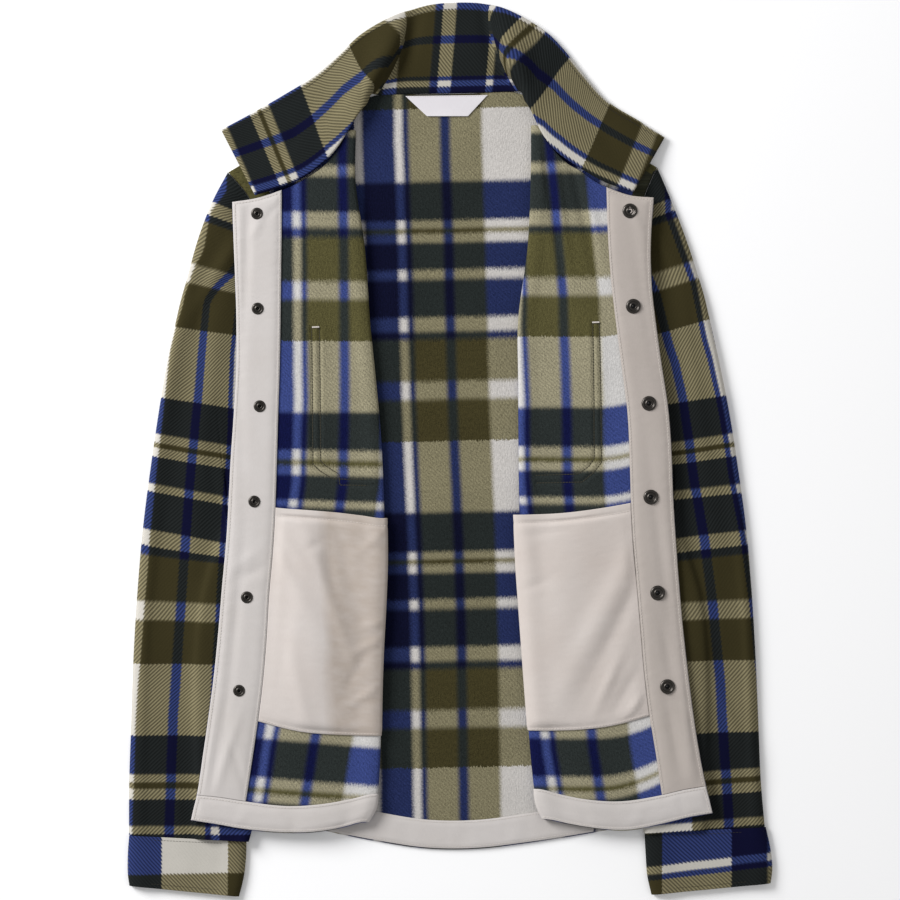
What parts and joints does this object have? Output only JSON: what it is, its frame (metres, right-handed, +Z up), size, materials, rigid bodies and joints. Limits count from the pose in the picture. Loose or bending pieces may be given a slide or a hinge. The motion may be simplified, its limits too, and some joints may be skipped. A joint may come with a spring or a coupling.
{
  "type": "plaid fleece shirt jacket laid open",
  "caption": "Plaid fleece shirt jacket laid flat on its back, both fronts folded open to show the inside, sleeves straight down, collar turned over the shoulders.",
  "frame": {"origin": "on the ground, below the middle of the laid-out garment's outline", "axes": "+Z up from the ground, +Y from the hem to the collar, +X to the wearer's left"},
  "size_m": [0.6197, 0.8588, 0.0181],
  "materials": {
    "fleece_face": "woven plaid, twill face",
    "fleece_inside": "brushed plaid, soft nap",
    "facing_cotton": "plain woven, matte",
    "label_satin": "woven satin",
    "snap_metal": "dark gunmetal"
  },
  "bodies": {
    "root": {"back": "fleece_inside", "front_right": "fleece_inside", "front_left": "fleece_inside", "chest_pocket_right": "fleece_face", "chest_pocket_left": "fleece_face", "sleeve_right": "fleece_face", "sleeve_left": "fleece_face", "cuff_right": "fleece_face", "cuff_left": "fleece_face", "collar": "fleece_face", "back_hem_facing": "facing_cotton", "facing_right": "facing_cotton", "facing_left": "facing_cotton", "hem_facing_right": "facing_cotton", "hem_facing_left": "facing_cotton", "pocket_bag_right": "facing_cotton", "pocket_bag_left": "facing_cotton", "neck_label": "label_satin", "stud_1": "snap_metal", "socket_1": "snap_metal", "stud_2": "snap_metal", "socket_2": "snap_metal", "stud_3": "snap_metal", "socket_3": "snap_metal", "stud_4": "snap_metal", "socket_4": "snap_metal", "stud_5": "snap_metal", "socket_5": "snap_metal", "stud_6": "snap_metal", "socket_6": "snap_metal"}
  },
  "joints": []
}
